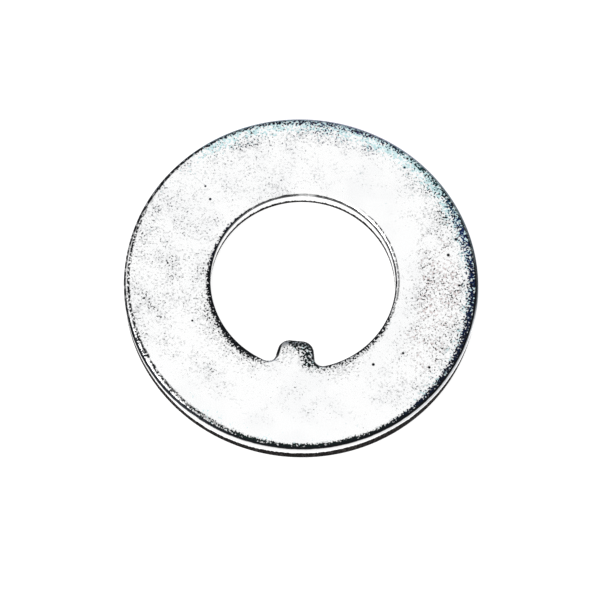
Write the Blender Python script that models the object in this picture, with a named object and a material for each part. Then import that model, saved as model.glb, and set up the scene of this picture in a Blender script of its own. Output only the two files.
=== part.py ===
# Tab lock washer: a ring blanked from steel strip, with one tab left standing in its
# bore to key into the slot along a threaded spindle. Zinc plated after pressing.
# Metres, +Z up. The origin is the middle of the rim, on the underside, and the tab
# reaches in from the -Y side. The face that the press rolled over is on top.

import math

import bmesh
import bpy
from mathutils import Vector

# Ring
rim_diameter = 0.0500
bore_diameter = 0.0261
thickness = 0.0032
bore_drift = Vector((0.00025, 0.00020))  # how far off the rim's middle the punch struck

# Tab, drawn about the bore's middle
tab_reach = 0.00415  # from the line of the bore's wall in to the tip
tab_tip_width = 0.00450  # between the flanks, where they would meet the tip's line
tab_taper = math.radians(11.0)  # lean of each flank, wider towards the root
tab_corner_radius = 0.00170
tab_root_radius = 0.00115

# Roll-over, where the blade drew the top face down before it cut
rim_roll_width = 0.00125
rim_roll_depth = 0.00042
bore_roll_width = 0.00055
bore_roll_depth = 0.00030
tab_roll_width = 0.00135  # the narrow tab is drawn down further than the ring
tab_roll_depth = 0.00075
tab_roll_run = 0.30  # share of the reach over which the wider roll-over fades in

# Below the roll-over the cut is sheared bright, and torn from there to the underside.
# The rim, where the blade had more play, is torn from just under its roll-over.
rim_bright_band = 0.00063
bore_tear_height = 0.00060
tear_draft = 0.00003
foot_radius = 0.00005

# Facets
rim_facets = 144
bore_half_facets = 54
corner_facets = 7
root_facets = 7
flank_facets = 4
tip_half_facets = 2
roll_facets = 5
foot_facets = 2

# Bright zinc plate
zinc_colour = (0.78, 0.80, 0.81, 1.0)
zinc_roughness = 0.32
zinc_metallic = 1.0
smooth_below = math.radians(35.0)


def clear_scene():
    for old in list(bpy.data.objects):
        bpy.data.objects.remove(old, do_unlink=True)


def direction(angle):
    return Vector((math.cos(angle), math.sin(angle)))


def arc(centre, radius, start, end, facets, into_metal):
    """Points from start to end, each with the way into the metal: 1 outwards, -1 inwards."""
    stations = []
    for step in range(facets + 1):
        spoke = direction(start + (end - start) * step / facets)
        stations.append((centre + radius * spoke, into_metal * spoke))
    return stations


def between(first, last, facets):
    """Points inside the straight stretch that joins two stations."""
    stations = []
    for step in range(1, facets):
        stations.append((first[0].lerp(last[0], step / facets), last[1]))
    return stations


def half_bore_outline():
    """From the middle of the tab's tip round the +X side to the far side of the bore."""
    bore_radius = bore_diameter / 2
    tip_line = bore_radius - tab_reach
    flank_out = direction(tab_taper)  # out of the +X flank, into the hole
    flank_along = Vector((flank_out.y, -flank_out.x))  # down the flank, to the root
    flank_line = flank_out.dot(Vector((tab_tip_width / 2, -tip_line)))

    corner_y = -tip_line - tab_corner_radius
    corner_x = (flank_line - tab_corner_radius - corner_y * flank_out.y) / flank_out.x
    corner = arc(
        Vector((corner_x, corner_y)), tab_corner_radius, math.pi / 2, tab_taper, corner_facets, -1
    )

    root_out = flank_line + tab_root_radius
    root_along = math.sqrt((bore_radius - tab_root_radius) ** 2 - root_out**2)
    root_centre = root_out * flank_out + root_along * flank_along
    root_end = math.atan2(root_centre.y, root_centre.x)
    root = arc(
        root_centre, tab_root_radius, tab_taper - math.pi, root_end, root_facets, 1
    )

    wall = arc(Vector((0, 0)), bore_radius, root_end, math.pi / 2, bore_half_facets, 1)
    tip_middle = (Vector((0, -tip_line)), Vector((0, -1)))
    tip = [tip_middle] + between(tip_middle, corner[0], tip_half_facets)
    flank = between(corner[-1], root[0], flank_facets)
    return tip + corner + flank + root + wall[1:]


def bore_outline():
    """The whole edge of the hole: (point, way into the metal, roll-over width and depth, tear)."""
    half = half_bore_outline()
    mirrored = [(Vector((-p.x, p.y)), Vector((-m.x, m.y))) for p, m in half[-2:0:-1]]
    outline = []
    for point, into_metal in half + mirrored:
        stand_in = (bore_diameter / 2 - point.length) / (tab_roll_run * tab_reach)
        share = min(1.0, max(0.0, stand_in))
        share = share * share * (3 - 2 * share)
        width = bore_roll_width + share * (tab_roll_width - bore_roll_width)
        depth = bore_roll_depth + share * (tab_roll_depth - bore_roll_depth)
        outline.append((point + bore_drift, into_metal, width, depth, bore_tear_height))
    return outline


def rim_outline():
    middle = Vector((0, 0))
    stations = arc(middle, rim_diameter / 2, 0, 2 * math.pi, rim_facets, -1)[:-1]
    rim_tear_height = thickness - rim_roll_depth - rim_bright_band
    section = (rim_roll_width, rim_roll_depth, rim_tear_height)
    return [(point, into_metal, *section) for point, into_metal in stations]


def cut_edge(roll_width, roll_depth, tear_height):
    """(inset, height) down a blanked edge, from the top face to the underside."""
    section = []
    for step in range(roll_facets + 1):
        turn = math.pi / 2 * step / roll_facets
        inset = roll_width * (1 - math.sin(turn))
        section.append((inset, thickness - roll_depth * (1 - math.cos(turn))))
    section.append((0, tear_height))
    for step in range(foot_facets + 1):
        turn = math.pi / 2 * step / foot_facets
        inset = tear_draft + foot_radius * (1 - math.cos(turn))
        section.append((inset, foot_radius * (1 - math.sin(turn))))
    return section


def edge_wall(bm, outline):
    """Lofts the cut edge round an outline; returns its loops on the top and the underside."""
    columns = []
    for point, into_metal, *section in outline:
        column = []
        for inset, height in cut_edge(*section):
            column.append(bm.verts.new((point + inset * into_metal).to_3d() + Vector((0, 0, height))))
        columns.append(column)
    for here, after in zip(columns, columns[1:] + columns[:1]):
        for row in range(len(here) - 1):
            bm.faces.new((here[row], here[row + 1], after[row + 1], after[row]))
    return [column[0] for column in columns], [column[-1] for column in columns]


def loop_edges(bm, loop):
    return [bm.edges.get(pair) for pair in zip(loop, loop[1:] + loop[:1])]


def flat_ring(bm, outer_loop, inner_loop, facing):
    edges = loop_edges(bm, outer_loop) + loop_edges(bm, inner_loop)
    bmesh.ops.triangle_fill(bm, use_beauty=True, edges=edges, normal=facing)


def zinc_plate():
    material = bpy.data.materials.new("bright_zinc")
    material.use_nodes = True
    shader = material.node_tree.nodes["Principled BSDF"]
    shader.inputs["Base Color"].default_value = zinc_colour
    shader.inputs["Roughness"].default_value = zinc_roughness
    shader.inputs["Metallic"].default_value = zinc_metallic
    return material


def tab_washer():
    bm = bmesh.new()
    rim_top, rim_bottom = edge_wall(bm, rim_outline())
    bore_top, bore_bottom = edge_wall(bm, bore_outline())
    flat_ring(bm, rim_top, bore_top, Vector((0, 0, 1)))
    flat_ring(bm, rim_bottom, bore_bottom, Vector((0, 0, -1)))
    bmesh.ops.recalc_face_normals(bm, faces=bm.faces)
    mesh = bpy.data.meshes.new("tab_washer")
    bm.to_mesh(mesh)
    bm.free()
    mesh.shade_smooth()
    mesh.set_sharp_from_angle(angle=smooth_below)
    mesh.materials.append(zinc_plate())
    washer = bpy.data.objects.new("tab_washer", mesh)
    bpy.context.scene.collection.objects.link(washer)
    return washer


clear_scene()
tab_washer()
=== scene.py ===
import math
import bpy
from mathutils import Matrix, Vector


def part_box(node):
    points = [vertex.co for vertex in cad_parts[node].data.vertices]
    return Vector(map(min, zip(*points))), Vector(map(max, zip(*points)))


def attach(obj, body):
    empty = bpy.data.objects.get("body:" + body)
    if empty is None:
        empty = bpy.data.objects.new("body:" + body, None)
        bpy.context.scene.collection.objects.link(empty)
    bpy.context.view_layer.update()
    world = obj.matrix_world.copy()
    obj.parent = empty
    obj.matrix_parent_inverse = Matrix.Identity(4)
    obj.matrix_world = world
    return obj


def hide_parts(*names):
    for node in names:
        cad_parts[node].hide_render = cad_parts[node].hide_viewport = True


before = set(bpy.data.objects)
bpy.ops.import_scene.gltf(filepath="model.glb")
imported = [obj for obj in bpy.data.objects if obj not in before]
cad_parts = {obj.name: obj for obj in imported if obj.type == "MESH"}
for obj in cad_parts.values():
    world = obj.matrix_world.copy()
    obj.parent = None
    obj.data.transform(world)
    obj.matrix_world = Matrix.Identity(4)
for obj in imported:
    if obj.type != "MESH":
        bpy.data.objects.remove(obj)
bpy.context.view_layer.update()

from types import SimpleNamespace

import bmesh
import bpy
from mathutils import Matrix, Vector, geometry, kdtree, noise

cadLow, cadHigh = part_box("tab_washer")
mm = 0.001  # the washer's sizes below are in millimetres
print("frame loaded, washer", [round((b - a) / mm, 2) for a, b in zip(cadLow, cadHigh)], "mm")


# small helpers

def smooth(low, high, value):
    share = min(1.0, max(0.0, (value - low) / (high - low)))
    return share * share * (3 - 2 * share)


def spoke(angle):
    return Vector((math.cos(angle), math.sin(angle)))


# camera: the photo's own tilt, turn and framing

camDict = {
    "tilt": 20.1,       # degrees off straight down
    "turn": 2.2,
    "roll": -3.64,
    "distance": 0.4,    # metres
    "scale": 176.2,     # pixels to the washer's outer radius
    "aim": (300.78, 288.85),    # pixel where the middle of the foot lies
    "frame": 600,
    "sensor": 36,
}


def makeCamera(s):
    tilt, roll, turn = (math.radians(s[k]) for k in ("tilt", "roll", "turn"))
    radius = (cadHigh.x - cadLow.x) / 2
    spin = Matrix.Rotation(turn, 3, "Z")
    back = spin @ Vector((0, -math.sin(tilt), math.cos(tilt)))
    flatRight = spin @ Vector((1, 0, 0))
    flatUp = spin @ Vector((0, math.cos(tilt), math.sin(tilt)))
    right = flatRight * math.cos(roll) - flatUp * math.sin(roll)
    up = flatRight * math.sin(roll) + flatUp * math.cos(roll)
    data = bpy.data.cameras.new("lens")
    data.sensor_width = s["sensor"]
    data.lens = s["scale"] * s["distance"] / radius * s["sensor"] / s["frame"]
    cam = bpy.data.objects.new("camera", data)
    bpy.context.scene.collection.objects.link(cam)
    perPixel = radius / s["scale"]
    middle = s["frame"] / 2
    shift = right * (middle - s["aim"][0]) * perPixel + up * (s["aim"][1] - middle) * perPixel
    place = Matrix((right, up, back)).transposed().to_4x4()
    place.translation = back * s["distance"] + shift
    cam.matrix_world = place
    bpy.context.scene.camera = cam
    print("camera placed, lens", round(data.lens, 1), "mm")


makeCamera(camDict)


# washer: a stamped ring with one tab into the bore

washerDict = {
    "rimRadius": (cadHigh.x - cadLow.x) / 2 / mm,
    "thickness": (cadHigh.z - cadLow.z) / mm,
    "boreRadius": 13.05,
    "boreMiddle": (0.25, 0.20),
    "tabReach": 4.15,
    "tabTipHalf": 2.25,         # half the tip's width
    "tabTaper": 11,             # degrees
    "tabCorner": 1.70,
    "tabRoot": 1.15,
    "rimRoll": (1.25, 0.42),    # how wide and deep the edge is drawn down
    "boreRoll": (0.55, 0.30),
    "tabRoll": (1.35, 0.75),
    "tabRollRun": 0.30,         # share of the tab's reach over which its wider roll sets in
    "rimTear": 2.15,            # height of the torn part of the edge
    "tearRise": 0.55,           # how much higher it reaches on the right, darkening more of the wall there with its painted shade
    "riseAt": 345,              # degrees round the rim
    "riseOver": (0.30, 0.85),   # cosine of the angle away from there, where it starts and is full
    "tearDip": 0.30,            # how much lower
    "dipAt": 248,
    "dipOver": (0.93, 0.99),
    "boreTear": 0.70,
    "sideTear": 0.45,           # how much higher in the bore's left and right
    "leastSheared": 0.04,       # strip that is always left above the torn part
    "tearDraft": 0.03,
    "tearBack": 0.012,          # how far the torn part stands back
    "roughOver": (0, 0.3),      # share of the way down it over which it roughens
    "footRadius": 0.05,
    "footBend": 0.3,            # share of that radius at the middle of the bend
    # noise along the edge: size, waves, and a number that sets it apart
    "rollWander": ((0.14, 9, 0), (0.08, 40, 3)),
    "tearWander": ((0.16, 14, 5), (0.07, 60, 7)),
    # noise on the torn part: size, how fine along and down, and a number that sets it apart
    "tearRough": ((0.030, 260, 1.6, 9), (0.018, 700, 6, 11)),
    "tabMarkIn": (-1.6, 0.8),   # distance in from the bore's line where the tab's own colouring starts, is full; it is mostly painted reflection
    "tabMarkSide": (3.2, 4.6),  # and how far to each side it starts to fade, is gone
    "rimStations": 1400,
    "boreStations": 720,
    "cornerStations": 24,
    "rollRows": 9,
    "wallRows": 4,
    "tearRows": 7,
    "topNet": 0.45,             # spacing of the points on the flat faces
    "footNet": 0.90,
    "netClear": 0.7,            # share of the spacing that stays free along the edges
    "sharpFrom": 50,            # degrees
    "rimSeed": 11,
    "boreSeed": 31,
}

# zones down a cut edge, by where each ends: rolled over to 1, sheared to 2, torn to 3, then the foot
topZone, rolledZone, shearedZone, footZone, underZone = 0, 1, 2, 3.3, 4
netRow = 0.866      # height of a row of even triangles, for a side of 1


def unevenness(angle, waves, seed):
    return noise.noise(Vector((math.cos(angle) * waves, math.sin(angle) * waves, seed)))


def wander(value, noises, angle, seed):
    for size, waves, apart in noises:
        value += size * unevenness(angle, waves, seed + apart)
    return value


def arcStations(middle, radius, start, end, count, into):
    found = []
    for i in range(count + 1):
        ray = spoke(start + (end - start) * i / count)
        found.append((middle + radius * ray, into * ray))
    return found


def straightStations(first, last, count):
    return [(first[0].lerp(last[0], i / count), last[1]) for i in range(1, count)]


def halfBore(s):
    # from the middle of the tab's tip round the +X side to the far side of the bore
    taper = math.radians(s["tabTaper"])
    tipLine = s["boreRadius"] - s["tabReach"]
    out = spoke(taper)
    along = Vector((out.y, -out.x))
    line = out.dot(Vector((s["tabTipHalf"], -tipLine)))
    cornerY = -tipLine - s["tabCorner"]
    cornerX = (line - s["tabCorner"] - cornerY * out.y) / out.x
    turns = s["cornerStations"]
    corner = arcStations(Vector((cornerX, cornerY)), s["tabCorner"], math.pi / 2, taper, turns, -1)
    rootOut = line + s["tabRoot"]
    rootAlong = math.sqrt((s["boreRadius"] - s["tabRoot"]) ** 2 - rootOut ** 2)
    rootMiddle = rootOut * out + rootAlong * along
    rootEnd = math.atan2(rootMiddle.y, rootMiddle.x)
    root = arcStations(rootMiddle, s["tabRoot"], taper - math.pi, rootEnd, turns, 1)
    wall = arcStations(Vector((0, 0)), s["boreRadius"], rootEnd, math.pi / 2, s["boreStations"] // 2, 1)
    tip = (Vector((0, -tipLine)), Vector((0, -1)))
    toCorner = straightStations(tip, corner[0], turns // 3)
    flank = straightStations(corner[-1], root[0], turns // 2)
    return [tip] + toCorner + corner + flank + root + wall[1:]


def boreStations(s):
    half = halfBore(s)
    whole = half + [(Vector((-p.x, p.y)), Vector((-m.x, m.y))) for p, m in half[-2:0:-1]]
    found = []
    for p, m in whole:
        share = smooth(0, s["tabRollRun"] * s["tabReach"], s["boreRadius"] - p.length)
        width, depth = (a + share * (b - a) for a, b in zip(s["boreRoll"], s["tabRoll"]))
        tear = s["boreTear"] + s["sideTear"] * abs(p.x) / s["boreRadius"]
        found.append((p + Vector(s["boreMiddle"]), m, width, depth, tear))
    return found


def rimStations(s):
    found = []
    plain = arcStations(Vector((0, 0)), s["rimRadius"], 0, 2 * math.pi, s["rimStations"], -1)
    toRise, toDip = (spoke(math.radians(s[k])) for k in ("riseAt", "dipAt"))
    for p, m in plain[:-1]:
        out = p.normalized()
        tear = s["rimTear"] + s["tearRise"] * smooth(*s["riseOver"], out.dot(toRise))
        tear -= s["tearDip"] * smooth(*s["dipOver"], out.dot(toDip))
        found.append((p, m, *s["rimRoll"], tear))
    return found


def edgeRows(s, width, depth, tear, angle, seed):
    # (inset, height, zone) down the edge
    top = s["thickness"]
    width *= wander(1, s["rollWander"], angle, seed)
    tear = min(wander(tear, s["tearWander"], angle, seed), top - depth - s["leastSheared"])
    rows = []
    for i in range(s["rollRows"] + 1):
        down = i / s["rollRows"]
        turn = math.pi / 2 * down
        rows.append((width * (1 - math.sin(turn)), top - depth * (1 - math.cos(turn)), topZone + down))
    for i in range(1, s["wallRows"] + 1):
        down = i / s["wallRows"]
        rows.append((0, top - depth + (tear - top + depth) * down, rolledZone + down))
    for i in range(1, s["tearRows"] + 1):
        down = i / s["tearRows"]
        height = tear + (s["footRadius"] - tear) * down
        rough = s["tearBack"]
        for size, finelyAlong, finelyDown, apart in s["tearRough"]:
            rough += size * noise.noise(Vector((angle * finelyAlong, height * finelyDown, seed + apart)))
        inset = s["tearDraft"] * down + rough * smooth(*s["roughOver"], down)
        rows.append((max(0, inset), height, shearedZone + down))
    bend = s["footRadius"] * s["footBend"]
    rows.append((s["tearDraft"] + bend, bend, footZone))
    rows.append((s["tearDraft"] + s["footRadius"], 0, underZone))
    return rows


def edgeWall(bm, zone, s, stations, seed):
    columns = []
    for p, m, width, depth, tear in stations:
        angle = math.atan2(p.y, p.x)
        column = []
        for inset, height, kind in edgeRows(s, width, depth, tear, angle, seed):
            flat = p + inset * m
            vert = bm.verts.new((flat.x * mm, flat.y * mm, height * mm))
            vert[zone] = kind
            column.append(vert)
        columns.append(column)
    for here, after in zip(columns, columns[1:] + columns[:1]):
        for i in range(len(here) - 1):
            bm.faces.new((here[i], here[i + 1], after[i + 1], after[i]))
    return [c[0] for c in columns], [c[-1] for c in columns]


def insideLoop(p, loop):
    hit = False
    for a, b in zip(loop, loop[1:] + loop[:1]):
        if (a.y > p.y) != (b.y > p.y) and p.x < a.x + (p.y - a.y) / (b.y - a.y) * (b.x - a.x):
            hit = not hit
    return hit


def nearestOn(points):
    tree = kdtree.KDTree(len(points))
    for i, p in enumerate(points):
        tree.insert((*p, 0), i)
    tree.balance()
    return tree


def flatFace(bm, zone, s, rim, bore, kind, spacing):
    # fills the ring between the rim's loop and the bore's loop with an even net of triangles
    rimLoop, boreLoop = ([Vector((v.co.x, v.co.y)) / mm for v in loop] for loop in (rim, bore))
    tree = nearestOn(boreLoop)
    clear = spacing * s["netClear"]
    pastBore = s["boreRadius"] + 1      # from here out nothing lies in the hole
    inner = min(p.length for p in rimLoop)
    rows = int(inner / spacing / netRow) + 1
    net = []
    for row in range(-rows, rows + 1):
        for col in range(-rows, rows + 1):
            p = Vector(((col + 0.5 * (row % 2)) * spacing, row * spacing * netRow))
            if p.length > inner - clear or tree.find((*p, 0))[2] < clear:
                continue
            if p.length > pastBore or not insideLoop(p, boreLoop):
                net.append(p)
    known = rim + bore
    links = [(i, (i + 1) % len(rim)) for i in range(len(rim))]
    links += [(len(rim) + i, len(rim) + (i + 1) % len(bore)) for i in range(len(bore))]
    everyPoint = rimLoop + boreLoop + net
    points, _, triangles, origins, _, _ = geometry.delaunay_2d_cdt(everyPoint, links, [], 1, 1e-6)
    verts = []
    for p, origin in zip(points, origins):
        kept = [i for i in origin if i < len(known)]
        if kept:
            verts.append(known[kept[0]])
            continue
        vert = bm.verts.new((p.x * mm, p.y * mm, known[0].co.z))
        vert[zone] = kind
        verts.append(vert)
    for a, b, c in triangles:
        middle = (points[a] + points[b] + points[c]) / 3
        if middle.length > pastBore or not insideLoop(middle, boreLoop):
            bm.faces.new((verts[a], verts[b], verts[c]))


def markEdges(mesh, s, bore):
    # what the finish needs to know: how far a point stands in from each cut edge, and what lies on the tab
    tree = nearestOn([station[0] for station in bore])
    fromBore, fromRim, onTab = (mesh.attributes.new(name, "FLOAT", "POINT") for name in
                                ("fromBore", "fromRim", "onTab"))
    for i, vert in enumerate(mesh.vertices):
        x, y = vert.co.x / mm, vert.co.y / mm
        fromBore.data[i].value = tree.find((x, y, 0))[2]
        fromRim.data[i].value = s["rimRadius"] - math.hypot(x, y)
        across = x - s["boreMiddle"][0]
        depth = s["boreRadius"] - math.hypot(across, y - s["boreMiddle"][1])
        aside = smooth(*s["tabMarkSide"], abs(across))
        onTab.data[i].value = smooth(*s["tabMarkIn"], depth) * (1 - aside) * smooth(0, 1, -y)


def buildWasher(s):
    bm = bmesh.new()
    zone = bm.verts.layers.float.new("cutZone")
    bore = boreStations(s)
    rimTop, rimFoot = edgeWall(bm, zone, s, rimStations(s), s["rimSeed"])
    boreTop, boreFoot = edgeWall(bm, zone, s, bore, s["boreSeed"])
    flatFace(bm, zone, s, rimTop, boreTop, topZone, s["topNet"])
    flatFace(bm, zone, s, rimFoot, boreFoot, underZone, s["footNet"])
    bmesh.ops.recalc_face_normals(bm, faces=bm.faces)
    mesh = bpy.data.meshes.new("tabWasher")
    bm.to_mesh(mesh)
    bm.free()
    mesh.shade_smooth()
    mesh.set_sharp_from_angle(angle=math.radians(s["sharpFrom"]))
    markEdges(mesh, s, bore)
    piece = bpy.data.objects.new("tabWasher", mesh)
    bpy.context.scene.collection.objects.link(piece)
    print("washer stamped,", sum(len(p.vertices) - 2 for p in mesh.polygons), "triangles")
    return piece


# shader building

def newTree(name, kind):
    block = kind.new(name)
    block.use_nodes = True
    block.node_tree.nodes.clear()
    return block, block.node_tree


def addNode(tree, kind, values=None, **settings):
    node = tree.nodes.new("ShaderNode" + kind)
    for key, value in settings.items():
        setattr(node, key, value)
    for key, value in (values or {}).items():
        if isinstance(value, bpy.types.NodeSocket):
            tree.links.new(value, node.inputs[key])
        else:
            node.inputs[key].default_value = value
    return node


def calc(tree, operation, *values):
    return addNode(tree, "Math", dict(enumerate(values)), operation=operation).outputs[0]


def chain(tree, operation, values):
    total = values[0]
    for value in values[1:]:
        total = calc(tree, operation, total, value)
    return total


def addUp(tree, *values):
    return chain(tree, "ADD", values)


def times(tree, *values):
    return chain(tree, "MULTIPLY", values)


def highest(tree, *values):
    return chain(tree, "MAXIMUM", values)


def remap(tree, value, low, high, outLow=0.0, outHigh=1.0):
    values = {"Value": value, "From Min": low, "From Max": high, "To Min": outLow, "To Max": outHigh}
    return addNode(tree, "MapRange", values, interpolation_type="SMOOTHSTEP").outputs["Result"]


def falling(tree, value, low, high):
    return remap(tree, value, low, high, 1, 0)


def between(tree, value, start, full, fade, end):
    # rises from start to full, falls from fade to end
    return times(tree, remap(tree, value, start, full), falling(tree, value, fade, end))


def stroke(tree, value, middle, half, blur):
    # 1 along a line, 0 off it
    off = calc(tree, "ABSOLUTE", calc(tree, "SUBTRACT", value, middle))
    return falling(tree, calc(tree, "SUBTRACT", off, half), -blur, blur)


def moved(tree, operation, place, by):
    return addNode(tree, "VectorMath", {0: place, 1: by}, operation=operation).outputs[0]


def speckle(tree, place, size, detail, rough):
    # noise whose grains are about this many millimetres across
    values = {"Vector": place, "Scale": 1 / size, "Detail": detail, "Roughness": rough}
    return addNode(tree, "TexNoise", values).outputs["Fac"]


def tint(tree, share, under, over):
    node = addNode(tree, "Mix", {0: share}, data_type="RGBA")
    for socket, value in zip((node.inputs[6], node.inputs[7]), (under, over)):
        if isinstance(value, bpy.types.NodeSocket):
            tree.links.new(value, socket)
        else:
            socket.default_value = (*value, 1)
    return node.outputs[2]


def around(tree, turn, stops):
    # a value or colour that changes round the washer
    node = addNode(tree, "ValToRGB", {"Fac": turn})
    ramp = node.color_ramp
    ramp.interpolation = "EASE"
    isColour = isinstance(stops[0][1], tuple)
    for degrees, value in (*stops, (360, stops[0][1])):
        if degrees == 0:
            stop = ramp.elements[0]
        elif degrees == 360:
            stop = ramp.elements[-1]
        else:
            stop = ramp.elements.new(degrees / 360)
        level = value if isColour else (value + 1, value + 1, value + 1)    # a ramp holds nothing below 0
        stop.color = (*level, 1)
    if isColour:
        return node.outputs["Color"]
    return calc(tree, "SUBTRACT", node.outputs["Color"], 1)


# zinc plate over pressed steel, with the reflections and shade of its edges painted into its colour

# Distances are in millimetres. Stops are (degrees round the washer from its right side, value).
# A lean says how readily a grain turns dark: half of them do at 0, few at -0.2, nearly all at 0.2.
# Two numbers are where something starts and where it is full, or for a fade, is gone. Four are where
# it starts, is full, starts to fade and is gone. A note that says "from, to" means two ends of a noise
# or lean and the two shares that they give.

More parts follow.
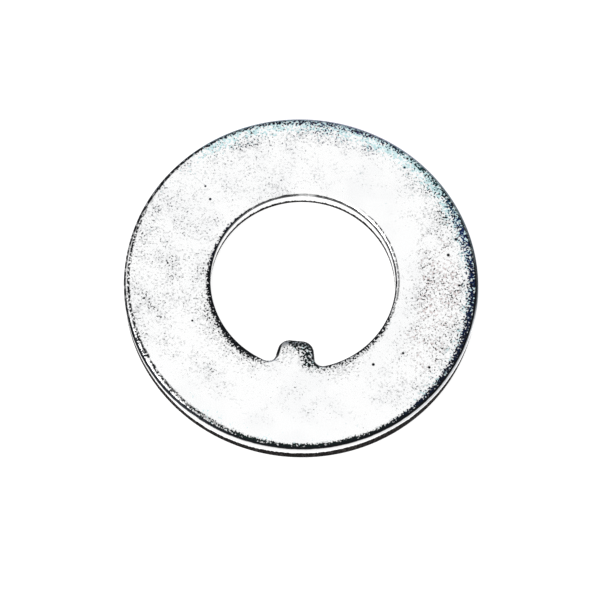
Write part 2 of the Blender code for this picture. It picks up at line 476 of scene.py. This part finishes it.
zincDict = {
    "bright": (0.965, 0.967, 0.967),
    "dull": (0.92, 0.925, 0.93),
    "black": (0.008, 0.009, 0.011),
    "sea": (0.46, 0.80, 0.83),      # grains where the passivation turns blue green
    "rose": (0.62, 0.40, 0.38),
    "soft": (0.66, 0.665, 0.67),    # faint grains between the dark ones
    "shade": (0.27, 0.28, 0.29),    # painted reflection that greys the roll of the tab's tip
    # near black of the torn part: partly its rough fracture, partly painted shade at the foot of the wall
    "torn": (0.008, 0.006, 0.006),
    "tornPale": (0.085, 0.075, 0.072),

    # noises: size across, detail, roughness
    "grain": (0.27, 1.0, 0.5),
    "hue": (0.324, 1.0, 0.5),
    "hueAside": (40, 15, 5),        # keeps the tinted grains off the dark ones
    "waver": (0.9, 2.0, 0.5),
    "patch": (1.7, 2.0, 0.55),
    "cloud": (5.0, 2.0, 0.6),
    "breaks": (0.34, 1.0, 0.5),
    "along": (0.70, 2.0, 0.6),
    "streaks": (0.30, 2.0, 0.6),
    "breaksAt": (0.38, 0.48),
    "dashesAt": (0.42, 0.50),
    "rimWander": 0.35,              # how far the bands and lines stray
    "boreWander": 0.22,
    "lineWander": 0.10,
    "topOver": (0.98, 1.02),        # zones where the top face's finish ends
    "darkTabOver": (-2.3, 1.1),     # from left to right, where the tab's painted reflection darkens

    # grains along the rim, painted dark as a reflection of the dark room in the rolled edge, most on the
    # right and near side: lean at its edge, what it loses in a millimetre, and the most it may be
    "rimTop": ((0, 0.38), (20, 0.34), (35, 0.29), (60, 0.46), (90, 0.29), (120, 0.36), (150, 0.30),
               (180, 0.40), (210, 0.65), (240, 0.80), (270, 0.83), (300, 0.84), (330, 0.60), (345, 0.50)),
    "rimSlope": ((0, 0.27), (30, 0.22), (60, 0.50), (90, 0.30), (120, 0.60), (150, 0.80), (240, 0.80),
                 (270, 0.85), (300, 0.87), (330, 0.50)),
    "rimCap": ((0, 0.12), (30, 0.05), (60, 0.01), (90, 0.05), (120, 0.05), (145, -0.10), (180, -0.20),
               (210, -0.05), (225, -0.08), (240, -0.02), (262, 0.14), (300, 0.22), (330, 0.15)),

    # grains round the bore, painted dark as a reflection in its rolled edge: a dense ring, and a halo that
    # reaches further
    "boreTop": ((0, -0.02), (30, -0.03), (60, -0.20), (120, -0.10), (150, 0.22), (180, 0.40), (210, 0.30),
                (237, 0.34), (262, 0.00), (282, 0.08), (305, 0.12), (332, 0.28), (350, 0.08)),
    "boreSlope": ((0, 0.5), (150, 0.75), (180, 0.70), (210, 0.37), (240, 0.35), (275, 0.30), (305, 0.22),
                  (332, 0.48)),
    "boreHalo": ((0, -0.35), (150, -0.22), (180, -0.10), (210, -0.01), (240, -0.04), (260, -0.12),
                 (275, -0.16), (300, -0.05), (325, -0.17)),
    "haloSlope": 0.05,

    # grains on the tab, painted dark as a reflection and darker on its right: lean on its left and what its
    # right adds, and the same for the slope
    "tabLean": (-0.14, 0.52),
    "tabSlope": (-0.05, -0.17),
    "tabCap": 0.06,

    # grains on the flat face, near the rim and further in; their darkness, which changes round the washer,
    # is painted reflection
    "faceOuter": ((0, -0.09), (30, -0.10), (62, -0.15), (90, -0.10), (118, -0.12), (150, -0.18),
                  (180, -0.14), (210, -0.19), (240, -0.32), (275, -0.34), (305, -0.25), (330, -0.12)),
    "faceInner": ((0, -0.10), (30, -0.16), (60, -0.26), (90, -0.20), (120, -0.20), (150, -0.20),
                  (185, -0.165), (215, -0.17), (240, -0.20), (270, -0.26), (300, -0.24), (330, -0.15)),
    "innerOver": (2.2, 5.0),        # distance from the rim
    "cloudLean": 0.30,
    "patchLean": 0.20,
    "cleanLean": -0.13,             # fewer grains beside the bore on the right
    "cleanOver": (5.5, 1.0),        # distance from the bore
    "cleanAcross": (0, 9),          # to the right of the middle

    # how a grain shows: painted dark as a reflection
    "fleckAt": (0.45, 0.56),
    "fleckShare": (-0.24, -0.05, 0.62, 1.0),    # lean, from, to
    "fleckEnds": (-0.14, -0.02),    # past the shoulder's line
    "pitEdge": (0.8, 1.5),          # shares of a pit's radius
    # single pits: place, radius
    "pits": (((15.2, -9.2), 0.16), ((-14.1, 11.0), 0.17), ((11.2, -11.3), 0.19), ((22.2, 1.7), 0.15),
             ((19.0, -10.9), 0.17), ((13.0, 18.8), 0.16), ((20.3, 6.1), 0.20), ((21.2, 8.6), 0.20),
             ((-15.0, 12.9), 0.14), ((-19.0, 0.7), 0.13), ((-14.6, -7.5), 0.14), ((-21.7, -4.9), 0.14)),

    # line at the rim's shoulder, a painted reflection of the dark room where the roll meets the wall: how
    # far in, half its width and its share
    "lineIn": ((0, 0.34), (60, 0.31), (120, 0.29), (150, 0.25), (180, 0.17), (210, 0.17), (225, 0.21),
               (240, 0.35), (270, 0.42), (300, 0.43), (330, 0.41), (345, 0.37)),
    "lineHalf": ((0, 0.15), (60, 0.13), (120, 0.17), (150, 0.26), (175, 0.15), (210, 0.18), (240, 0.20),
                 (275, 0.17)),
    "lineShare": ((0, 1.0), (30, 0.70), (60, 0.30), (90, 0.25), (120, 0.40), (150, 0.70), (180, 0.60),
                  (210, 1.0), (330, 1.0)),
    "lineBlur": 0.06,
    "dashTurns": (0.30, 0.38, 0.52, 0.58),      # parts of a turn where dashes strengthen it
    "dashShare": 0.5,
    "rollReflectionEnds": (-0.16, -0.08),   # the strip outside that line, past it, which carries a painted reflection
    "rollReflection": ((0, (0.14, 0.15, 0.17)), (10, (0.030, 0.035, 0.05)), (35, (0.11, 0.15, 0.19)),
               (75, (0.26, 0.24, 0.36)), (120, (0.20, 0.25, 0.33)), (150, (0.13, 0.16, 0.26)),
               (175, (0.9, 0.9, 0.9)), (348, (0.9, 0.9, 0.9))),

    # broken lines where the rolls begin, at the rim and round the bore, painted reflections
    "startIn": ((0, 0.9), (165, 0.52), (180, 0.66), (210, 0.77), (240, 0.85), (270, 0.95)),
    "startShare": ((0, 0.0), (150, 0.0), (165, 1.0), (222, 1.0), (242, 0.6), (262, 0.0)),
    "startHalf": 0.19,
    "startBlur": 0.10,
    "innerIn": 0.43,
    "innerHalf": 0.12,
    "innerShare": ((0, 0.75), (45, 0.95), (62, 0.0), (325, 0.0), (345, 0.70)),

    # line along the bore's edge, a painted reflection of the dark room: its width, wider on the tab and on
    # its left flank
    "boreReflectionLine": ((0, 0.18), (60, 0.08), (120, 0.09), (150, 0.18), (330, 0.20)),
    "boreLineEdge": (-0.05, 0.07),
    "boreLineEnds": (1.24, 1.30),   # zones
    "boreLineShare": (0.34, 0.42, 0.70, 1.0),   # noise, from, to
    "tabWider": 0.10,
    "flankWider": 0.16,
    "flankX": (-3.6, -3.0, -1.9, -1.4),
    "flankY": (-11.8, -11.2, -10.0, -9.4),
    "rootFainter": 0.6,             # at the tab's left root
    "rootX": (-5.6, -4.6, -3.0, -2.4),
    "rootY": (-10.9, -11.7),
    "tipFainter": 0.4,              # and at the left of its tip
    "tipX": (-2.0, -1.4, 0.2, 1.2),
    "tipY": (-9.7, -9.2),

    # what colours a dark grain, and how much: the tint of the painted reflection, changing round the washer
    "inks": ((0, (0.008, 0.015, 0.050)), (23, (0.010, 0.024, 0.105)), (48, (0.008, 0.055, 0.065)),
             (75, (0.035, 0.030, 0.100)), (120, (0.020, 0.028, 0.050)), (165, (0.010, 0.012, 0.030)),
             (200, (0.008, 0.008, 0.010)), (250, (0.010, 0.020, 0.017)), (300, (0.009, 0.015, 0.015)),
             (322, (0.008, 0.013, 0.030))),
    "inkOver": (0.25, 0.8, 1.3, 2.4),           # distance from the rim
    "inkTurns": (0.08, 0.14, 0.45, 0.50),       # parts of a turn where every grain has it
    "inkOnTab": 0.7,
    "inkShare": (0.40, 0.54, 0.10, 1),          # noise, from, to

    # faint, blue green and rose grains, and the painted reflection that greys the tip
    "dullAt": (-0.1, 0.2),
    "softLean": 0.09,
    "softAt": (0.45, 0.57),
    "softShare": 0.75,
    "softFade": (-0.34, -0.14, 0.15, 1),        # lean, from, to
    "tintAt": (0.46, 0.58),
    "tintPatch": 0.3,
    "seaLean": -0.30,
    "seaReach": ((0, 0.30), (40, 0.42), (100, 0.40), (122, 0.36), (145, 0.12), (170, 0.02), (220, 0.02),
                 (245, 0.18), (275, 0.14), (300, 0.05), (325, 0.22)),
    "seaOver": (0.4, 4.2),          # distance from the rim, where it fades
    "seaTabLean": 0.26,
    "seaTabOver": (2.4, 0.8),       # distance from the bore
    "seaShare": 0.60,
    "roseLean": -0.34,
    "roseReach": ((0, 0.24), (50, 0.0), (300, 0.0), (340, 0.19)),
    "roseOver": (1.5, 3.0, 7.0, 10.0),          # distance from the rim
    "roseShare": 0.45,
    "shadeWander": 0.5,
    "shadeOver": (1.30, 0.65),      # distance from the bore
    "shadeY": (-10.4, -9.7),
    "shadeShare": 0.9,

    # the torn part, near black partly from its rough fracture and partly as painted shade at the foot of the
    # wall, and the surface
    "ragged": 0.5,
    "tornZones": (1.93, 2.05, 3.3, 3.9),
    "upright": (1, 1, 0.2),         # stretches the streaks
    "streaksAt": (0.50, 0.66, 0, 0.6),          # noise, from, to
    "roughness": 0.22,
    "fleckRough": 0.22,
    "tornRough": 0.78,
    "bumpShare": 0.4,
    "bumpHeight": 0.05,
}


def surveyPlate(tree, s):
    # where a point lies on the washer, and the noises that its grains and lines come from
    coords = addNode(tree, "TexCoord")
    place = addNode(tree, "VectorMath", {0: coords.outputs["Object"], "Scale": 1 / mm},
                    operation="SCALE").outputs[0]
    at = SimpleNamespace(place=place)
    for name in ("cutZone", "fromRim", "fromBore", "onTab"):
        setattr(at, name, addNode(tree, "Attribute", attribute_name=name).outputs["Fac"])
    at.x, at.y, _ = addNode(tree, "SeparateXYZ", {0: place}).outputs
    angle = calc(tree, "ARCTAN2", at.y, at.x)
    at.turn = calc(tree, "WRAP", calc(tree, "DIVIDE", angle, 2 * math.pi), 1, 0)
    at.grain = speckle(tree, place, *s["grain"])
    at.hue = speckle(tree, moved(tree, "ADD", place, s["hueAside"]), *s["hue"])
    for name in ("waver", "patch", "cloud"):
        setattr(at, name, calc(tree, "SUBTRACT", speckle(tree, place, *s[name]), 0.5))
    at.along = speckle(tree, place, *s["along"])
    at.breaks = remap(tree, speckle(tree, place, *s["breaks"]), *s["breaksAt"])
    at.onTop = falling(tree, at.cutZone, *s["topOver"])
    at.onRight = remap(tree, at.x, *s["darkTabOver"])
    at.wavyRim = addUp(tree, at.fromRim, times(tree, at.waver, s["rimWander"]))
    at.wavyBore = addUp(tree, at.fromBore, times(tree, at.waver, s["boreWander"]))
    return at


# painted reflection: how readily the grains on the rim's roll turn dark, by the angle round the washer
def rimReflectionLean(tree, s, at):
    lost = times(tree, around(tree, at.turn, s["rimSlope"]), at.wavyRim)
    lean = calc(tree, "SUBTRACT", around(tree, at.turn, s["rimTop"]), lost)
    return calc(tree, "MINIMUM", lean, around(tree, at.turn, s["rimCap"]))


# painted reflection: how readily the grains round the bore and on the tab turn dark, darker on the tab's
# right
def boreReflectionLean(tree, s, at):
    lost = times(tree, around(tree, at.turn, s["boreSlope"]), at.wavyBore)
    ring = calc(tree, "SUBTRACT", around(tree, at.turn, s["boreTop"]), lost)
    lost = times(tree, at.fromBore, s["haloSlope"])
    halo = calc(tree, "SUBTRACT", around(tree, at.turn, s["boreHalo"]), lost)
    left, right = s["tabLean"]
    leftSlope, rightSlope = s["tabSlope"]
    slope = addUp(tree, leftSlope, times(tree, at.onRight, rightSlope))
    tab = addUp(tree, left, times(tree, at.onRight, right), times(tree, at.wavyBore, slope))
    tab = calc(tree, "MINIMUM", tab, s["tabCap"])
    offTab = calc(tree, "SUBTRACT", 1, at.onTab)
    return addUp(tree, times(tree, highest(tree, ring, halo), offTab), times(tree, tab, at.onTab))


# how readily grains on the flat face turn dark; the darkness that changes round the washer is painted
# reflection
def faceLean(tree, s, at):
    outer = falling(tree, at.fromRim, *s["innerOver"])
    inner = calc(tree, "SUBTRACT", 1, outer)
    clean = remap(tree, at.fromBore, *s["cleanOver"])
    return addUp(tree, times(tree, around(tree, at.turn, s["faceOuter"]), outer),
                 times(tree, around(tree, at.turn, s["faceInner"]), inner),
                 times(tree, at.cloud, s["cloudLean"]), times(tree, at.patch, s["patchLean"]),
                 times(tree, clean, remap(tree, at.x, *s["cleanAcross"]), s["cleanLean"]))


# the plate's grain painted dark as a reflection, and single pits
def reflectionFlecksAndPits(tree, s, at, lean):
    fleck = remap(tree, addUp(tree, at.grain, lean), *s["fleckAt"])
    fleck = times(tree, fleck, remap(tree, lean, *s["fleckShare"]), at.onTop)
    for (x, y), radius in s["pits"]:
        middle = (x, y, washerDict["thickness"])
        gap = addNode(tree, "VectorMath", {0: at.place, 1: middle}, operation="DISTANCE")
        full, gone = (radius * share for share in s["pitEdge"])
        fleck = highest(tree, fleck, falling(tree, gap.outputs["Value"], full, gone))
    return fleck


# painted reflections of the dark room: the line at the rim's shoulder and the broken lines where the rolls
# begin
def topReflectionLines(tree, s, at, lineIn):
    wavy = addUp(tree, at.fromRim, times(tree, at.waver, s["lineWander"]))
    shoulder = stroke(tree, wavy, lineIn, around(tree, at.turn, s["lineHalf"]), s["lineBlur"])
    dashes = times(tree, between(tree, at.turn, *s["dashTurns"]), remap(tree, at.along, *s["dashesAt"]),
                   s["dashShare"])
    share = calc(tree, "MINIMUM", addUp(tree, around(tree, at.turn, s["lineShare"]), dashes), 1.0)
    shoulder = times(tree, shoulder, share)
    start = stroke(tree, at.wavyRim, around(tree, at.turn, s["startIn"]), s["startHalf"], s["startBlur"])
    start = times(tree, start, around(tree, at.turn, s["startShare"]), at.breaks)
    inner = stroke(tree, at.wavyBore, s["innerIn"], s["innerHalf"], s["lineBlur"])
    inner = times(tree, inner, around(tree, at.turn, s["innerShare"]), at.breaks)
    return times(tree, highest(tree, shoulder, start, inner), at.onTop)


# painted reflection: the dark line along the bore's edge
def boreReflectionLine(tree, s, at):
    flank = times(tree, between(tree, at.x, *s["flankX"]), between(tree, at.y, *s["flankY"]))
    root = times(tree, remap(tree, at.y, *s["rootY"]), between(tree, at.x, *s["rootX"]))
    tip = times(tree, remap(tree, at.y, *s["tipY"]), between(tree, at.x, *s["tipX"]))
    width = addUp(tree, around(tree, at.turn, s["boreReflectionLine"]), times(tree, at.onTab, s["tabWider"]),
                  times(tree, flank, s["flankWider"]))
    line = falling(tree, calc(tree, "SUBTRACT", at.wavyBore, width), *s["boreLineEdge"])
    fainter = highest(tree, times(tree, root, s["rootFainter"]), times(tree, tip, s["tipFainter"]))
    share = calc(tree, "SUBTRACT", remap(tree, at.along, *s["boreLineShare"]), fainter)
    return times(tree, line, falling(tree, at.cutZone, *s["boreLineEnds"]), share)


def tintedGrains(tree, at, shown, share, *leans):
    return times(tree, remap(tree, addUp(tree, at.hue, *leans), *shown), at.onTop, share)


def bodyColour(tree, s, at, lean):
    body = tint(tree, remap(tree, at.cloud, *s["dullAt"]), s["bright"], s["dull"])
    soft = tintedGrains(tree, at, s["softAt"], s["softShare"], lean, s["softLean"])
    soft = times(tree, soft, remap(tree, lean, *s["softFade"]))
    body = tint(tree, soft, body, s["soft"])

    reach = times(tree, around(tree, at.turn, s["seaReach"]), falling(tree, at.fromRim, *s["seaOver"]))
    tabReach = times(tree, at.onTab, at.onRight, remap(tree, at.fromBore, *s["seaTabOver"]), s["seaTabLean"])
    patch = times(tree, at.patch, s["tintPatch"])
    seaLean = addUp(tree, s["seaLean"], reach, tabReach, patch)
    body = tint(tree, tintedGrains(tree, at, s["tintAt"], s["seaShare"], seaLean), body, s["sea"])

    reach = times(tree, around(tree, at.turn, s["roseReach"]), between(tree, at.fromRim, *s["roseOver"]))
    roseLean = addUp(tree, s["roseLean"], patch, reach)
    body = tint(tree, tintedGrains(tree, at, s["tintAt"], s["roseShare"], roseLean), body, s["rose"])

    # painted reflection: greys the roll of the tab's tip
    shade = remap(tree, addUp(tree, at.fromBore, times(tree, at.waver, s["shadeWander"])), *s["shadeOver"])
    shade = times(tree, at.onTab, shade, remap(tree, at.y, *s["shadeY"]), at.onTop, s["shadeShare"])
    return tint(tree, shade, body, s["shade"])


# tint of the painted reflection in the dark grains
def inkColour(tree, s, at):
    share = highest(tree, between(tree, at.fromRim, *s["inkOver"]), between(tree, at.turn, *s["inkTurns"]),
                    times(tree, at.onTab, at.onRight, s["inkOnTab"]))
    share = times(tree, share, remap(tree, at.hue, *s["inkShare"]))
    return tint(tree, share, s["black"], around(tree, at.turn, s["inks"]))


# the torn part's colour: its rough fracture and painted shade at the foot of the wall
def tornPart(tree, s, at):
    ragged = times(tree, calc(tree, "SUBTRACT", at.grain, 0.5), s["ragged"])
    torn = between(tree, addUp(tree, at.cutZone, ragged), *s["tornZones"])
    upright = moved(tree, "MULTIPLY", at.place, s["upright"])
    streaks = remap(tree, speckle(tree, upright, *s["streaks"]), *s["streaksAt"])
    return torn, tint(tree, streaks, s["torn"], s["tornPale"])


def zincPlate(s):
    block, tree = newTree("zincPlate", bpy.data.materials)
    at = surveyPlate(tree, s)
    lean = highest(tree, rimReflectionLean(tree, s, at), boreReflectionLean(tree, s, at), faceLean(tree, s, at))
    lineIn = around(tree, at.turn, s["lineIn"])
    past = calc(tree, "SUBTRACT", at.fromRim, lineIn)
    fleck = times(tree, reflectionFlecksAndPits(tree, s, at, lean), remap(tree, past, *s["fleckEnds"]))
    # painted reflection on the steep roll outside the shoulder's line, dark on the right and far side
    rollReflection = times(tree, falling(tree, past, *s["rollReflectionEnds"]), at.onTop)
    # painted reflections: the dark lines at the rim's shoulder, where the rolls begin and along the bore's
    # edge
    line = highest(tree, topReflectionLines(tree, s, at, lineIn), boreReflectionLine(tree, s, at))
    torn, tornColour = tornPart(tree, s, at)

    colour = tint(tree, fleck, bodyColour(tree, s, at, lean), inkColour(tree, s, at))
    colour = tint(tree, rollReflection, colour, around(tree, at.turn, s["rollReflection"]))
    colour = tint(tree, line, colour, s["black"])
    colour = tint(tree, torn, colour, tornColour)
    rough = addUp(tree, s["roughness"], times(tree, fleck, s["fleckRough"]),
                  times(tree, torn, s["tornRough"]))
    bump = addNode(tree, "Bump", {"Height": at.grain, "Strength": s["bumpShare"],
                                  "Distance": s["bumpHeight"] * mm})
    surface = addNode(tree, "BsdfPrincipled", {"Base Color": colour, "Metallic": 1.0, "Roughness": rough,
                                               "Normal": bump.outputs["Normal"]})
    out = addNode(tree, "OutputMaterial")
    tree.links.new(surface.outputs[0], out.inputs["Surface"])
    return block


washer = buildWasher(washerDict)
washer.data.materials.append(zincPlate(zincDict))
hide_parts("tab_washer")
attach(washer, "root")
print("zinc laid on")


# floor, studio and lamp

studioDict = {
    "floorRadius": 2.6,
    "floorSides": 128,
    "floorColour": (0.45, 0.45, 0.45),
    "floorLift": 0.76,          # what camera and glossy rays see on top of the lit floor
    "sky": (1.02, 1.02, 1.02),
    "slate": (0.62, 0.65, 0.70),
    "haze": (0.48, 0.53, 0.60),
    "horizon": (0.11, 0.20),    # sine of the height under which the room is white again
    "rightWall": (0.55, 0.90),
    "farWall": (0.70, 0.96),
    "level": 1.0,
    "lampPlace": (-0.55, -0.25, 0.75),
    "lampSize": 0.5,
    "lampPower": 4.0,
}


def makeFloor(s):
    mesh = bpy.data.meshes.new("floor")
    bm = bmesh.new()
    bmesh.ops.create_circle(bm, cap_ends=True, segments=s["floorSides"], radius=s["floorRadius"])
    bm.to_mesh(mesh)
    bm.free()
    floor = bpy.data.objects.new("floor", mesh)
    floor.location.z = cadLow.z
    bpy.context.scene.collection.objects.link(floor)
    block, tree = newTree("paleFloor", bpy.data.materials)
    rays = addNode(tree, "LightPath")
    seen = highest(tree, rays.outputs["Is Camera Ray"], rays.outputs["Is Glossy Ray"],
                   rays.outputs["Is Transmission Ray"])
    lit = addNode(tree, "BsdfDiffuse", {"Color": (*s["floorColour"], 1)})
    glow = addNode(tree, "Emission", {"Strength": times(tree, seen, s["floorLift"])})
    both = addNode(tree, "AddShader", {0: lit.outputs[0], 1: glow.outputs[0]})
    out = addNode(tree, "OutputMaterial")
    tree.links.new(both.outputs[0], out.inputs["Surface"])
    mesh.materials.append(block)


def makeStudio(s):
    world, tree = newTree("studio", bpy.data.worlds)
    bpy.context.scene.world = world
    coords = addNode(tree, "TexCoord")
    x, y, z = addNode(tree, "SeparateXYZ", {0: coords.outputs["Generated"]}).outputs
    aboveFloor = remap(tree, z, *s["horizon"])
    colour = tint(tree, times(tree, remap(tree, y, *s["farWall"]), aboveFloor), s["sky"], s["haze"])
    colour = tint(tree, times(tree, remap(tree, x, *s["rightWall"]), aboveFloor), colour, s["slate"])
    back = addNode(tree, "Background", {"Color": colour, "Strength": s["level"]})
    out = addNode(tree, "OutputWorld")
    tree.links.new(back.outputs[0], out.inputs["Surface"])


def makeLamp(s):
    data = bpy.data.lights.new("keyBox", "AREA")
    data.shape = "SQUARE"
    data.size = s["lampSize"]
    data.energy = s["lampPower"]
    lamp = bpy.data.objects.new("keyBox", data)
    lamp.location = s["lampPlace"]
    lamp.rotation_euler = (-lamp.location).to_track_quat("-Z", "Y").to_euler()
    bpy.context.scene.collection.objects.link(lamp)


makeFloor(studioDict)
makeStudio(studioDict)
makeLamp(studioDict)
bpy.context.scene.view_settings.view_transform = "Standard"
print("studio lit")
